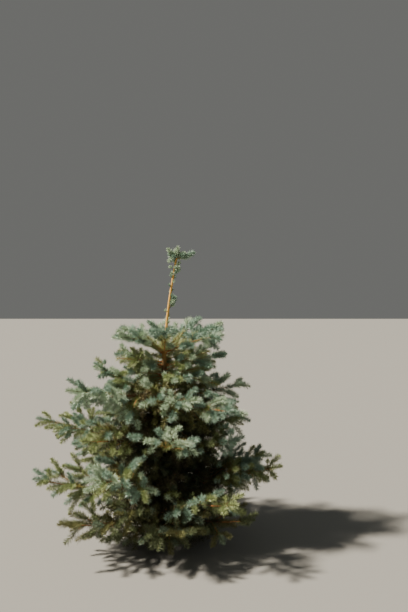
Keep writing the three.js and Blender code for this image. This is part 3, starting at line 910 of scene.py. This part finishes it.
# A closed skin over rings of points, all with the same count.
def skinObject(name, strands, material):
    points, faces = [], []
    for rings in strands:
        first, sides = len(points), len(rings[0])
        for ring in rings:
            points.extend(p * mm for p in ring)
        for r in range(len(rings) - 1):
            for i in range(sides):
                a, b = first + r * sides + i, first + r * sides + (i + 1) % sides
                faces.append((a, b, b + sides, a + sides))
        last = first + (len(rings) - 1) * sides
        faces.append(tuple(range(first + sides - 1, first - 1, -1)))
        faces.append(tuple(range(last, last + sides)))
    mesh = makeMesh(name, points, [], faces)
    mesh.materials.append(material)
    mesh.polygons.foreach_set("use_smooth", [True] * len(mesh.polygons))
    return addObject(name, mesh)


# The trunk swells into a collar under each bough.
def collarAt(z, bearing, radius):
    plan, swell = barkPlan, 0
    for bough in boughs:
        if abs(z - bough["foot"]) < plan["collarReach"]:
            wide = boughRadius(bough, 0)
            aside = radians((bearing - bough["bearing"] + 180) % 360 - 180) * radius
            away = aside ** 2 + (z - bough["foot"] + plan["collarDrop"] * wide) ** 2
            swell += plan["collar"] * wide * exp(-away / (plan["collarWidth"] * wide) ** 2)
    return swell


def makeTrunk():
    plan, rings = barkPlan, []
    count = round(trunkPlan["top"] / plan["ringStep"])
    for r in range(count + 1):
        z = trunkPlan["top"] * r / count
        nominal, share = trunkRadius(z), z / trunkPlan["leaderFoot"]
        relief = mix(plan["relief"], plan["upperRelief"], share) if share < 1 else 0
        lobes = trunkPlan["lobeDepth"] * exp(-z / trunkPlan["flareHeight"])
        ring = []
        for i in range(plan["trunkSides"]):
            bearing = 360 * i / plan["trunkSides"]
            radius = nominal * (1 + lobes * cos(radians(trunkPlan["flareLobes"] * bearing)))
            at = axisAt(z) + towards(bearing, 0) * radius
            radius += relief * (plateAt(at, plan["plateWidth"], plan["plateHeight"]) - plan["middle"])
            if not relief:
                radius += plan["leaderRelief"] * noise.noise(at / plan["leaderGrain"])
            radius += collarAt(z, bearing, nominal)
            ring.append(axisAt(z) + towards(bearing, 0) * radius)
        rings.append(ring)
    return skinObject("trunkBark", [rings], makeTrunkBark())


def makeLimbs(name, limbed, material):
    plan, strands = barkPlan, []
    for bough in limbed:
        first = (trunkRadius(bough["foot"]) - plan["limbDepth"]) / bough["reach"]
        last = bough["start"] + plan["limbOverlap"]
        count = round((last - first) * bough["reach"] / plan["ringStep"])
        rings = []
        for r in range(count + 1):
            t = mix(first, last, r / count)
            side, top = squareTo(boughTangent(bough, t))
            radius = boughRadius(bough, t)
            if t < plan["spreadShare"]:
                radius *= 1 + plan["spread"] * (1 - t / plan["spreadShare"]) ** 2
            ring = []
            for i in range(plan["limbSides"]):
                turn = 2 * pi * i / plan["limbSides"]
                out = side * cos(turn) + top * sin(turn)
                at = boughPoint(bough, t) + out * radius
                relief = plateAt(at, plan["limbPlate"], plan["limbPlate"]) - plan["limbMiddle"]
                ring.append(at + out * plan["limbRelief"] * relief)
            rings.append(ring)
        strands.append(rings)
    return skinObject(name, strands, material)


def handOver(piece, nodes):
    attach(piece, "root")
    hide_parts(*nodes)
    piece.data.calc_loop_triangles()
    print(piece.name, len(piece.data.loop_triangles), "triangles")


twigBarks = {
    "Young Bark": makeTwigBark("youngSpruceBark", 0.7, 0.3, 2.5, barkTones["young"]),
    "Green Bark": makeTwigBark("greenSpruceBark", 0.7, 0.3, 2.5, barkTones["green"]),
    "Grey Bark": makeTwigBark("greySpruceBark", 0.85, 0.25, 5, barkTones["grey"]),
}
handOver(makeTrunk(), ["trunk"])
for whorl in ("fifth", "sixth"):
    limbed = [bough for bough in boughs if bough["name"] == whorl]
    limbs = makeLimbs(whorl + "Limbs", limbed, twigBarks["Grey Bark"])
    handOver(limbs, [bough["owner"] + "_limb" for bough in limbed])
print("bark done")

needleTree = makeNeedleTree()
twigTree = makeTwigTree()
needle = makeNeedle()
crownParts = {bough["owner"] + "_mass": bough["part"] for bough in boughs}
massesOf = {part: [] for part in partNames}
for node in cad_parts:
    if node != "trunk" and not node.endswith("_limb"):
        massesOf[crownParts.get(node, "leader")].append(node)


def makeTwigs(name, part, rows, sides):
    twigs = pathObject(name, rows, {"girth": lambda row, i: row[1][i] * mm})
    applyTree(twigs, twigTree, {
        **twigBarks, "Sides": sides,
        "Grey Above": barkPlan["crownGrey" if part == "crown" else "grey"] * mm,
        "Green Below": barkPlan["green"] * mm})
    return twigs


def makeNeedles(part, age, rows, seed):
    plan = needlePlan.get(f"{part} {age}", needlePlan[age])
    materials = needleMaterials.get(f"{part} {age}", needleMaterials[age])
    tints = dict(zip(tintInputs, materials))
    needles = pathObject(f"{part}{age.capitalize()}Needles", rows, {
        "tint": lambda row, i: row[1], "vigour": lambda row, i: row[2]})
    applyTree(needles, needleTree, {
        **plan, "Spacing": plan["Spacing"] * mm, "Tip Taper": plan["Tip Taper"] * mm,
        **tints, "Seed": seed, "Needle": needle})
    return needles


for partIndex, part in enumerate(partNames):
    for kind, rows, sides in (("Stems", stems[part], barkPlan["stemSides"]),
                              ("Twigs", wood[part], barkPlan["twigSides"])):
        if rows:
            handOver(makeTwigs(part + kind, part, rows, sides), massesOf[part])
    for ageIndex, age in enumerate(needleAges):
        rows, seed = foliage[part, age], 10 * partIndex + ageIndex
        if rows:
            handOver(makeNeedles(part, age, rows, seed), massesOf[part])
bpy.data.objects.remove(needle)
print("foliage done")


# Camera, floor and light. The camera stands level at eye height, a little to the right.
camera = addObject("camera", bpy.data.cameras.new("camera"))
camera.data.lens = 35
camera.data.sensor_width = 36
camera.location = (0.253, -3.5, 1.376)
camera.rotation_euler = (radians(90), 0, 0)
scene.camera = camera

floorHalf = 60  # metres
floorCorners = [(x * floorHalf, y * floorHalf, 0) for x, y in ((-1, -1), (1, -1), (1, 1), (-1, 1))]
floorMesh = makeMesh("floor", floorCorners, [], [(0, 1, 2, 3)])
ground = addObject("floor", floorMesh)
paper, tree, shader = makeMaterial("palePaper", 0.9, 0.2)
shader["Base Color"].default_value = fromHex("#8A8A86")
floorMesh.materials.append(paper)

world = bpy.data.worlds.new("studio")
scene.world = world
world.use_nodes = True
background = world.node_tree.nodes["Background"].inputs
background["Color"].default_value = fromHex("#E2E3DE")
background["Strength"].default_value = 0.2


def addLight(name, kind, place, target, width, power, colour):
    light = addObject(name, bpy.data.lights.new(name, kind))
    if kind == "SUN":
        light.data.angle = width
    else:
        light.data.shape = "DISK"
        light.data.size = width
    light.data.energy = power
    light.data.color = fromHex(colour)[:3]
    light.location = place
    light.rotation_euler = (Vector(target) - Vector(place)).to_track_quat("-Z", "Y").to_euler()


addLight("key", "SUN", (-3.6, -0.9, 4.6), (0, 0, 0.8), radians(5), 11.2, "#FFF3E2")
addLight("fill", "AREA", (4.2, -3.6, 2.2), (0, 0, 0.7), 3.0, 9, "#F0F0EE")
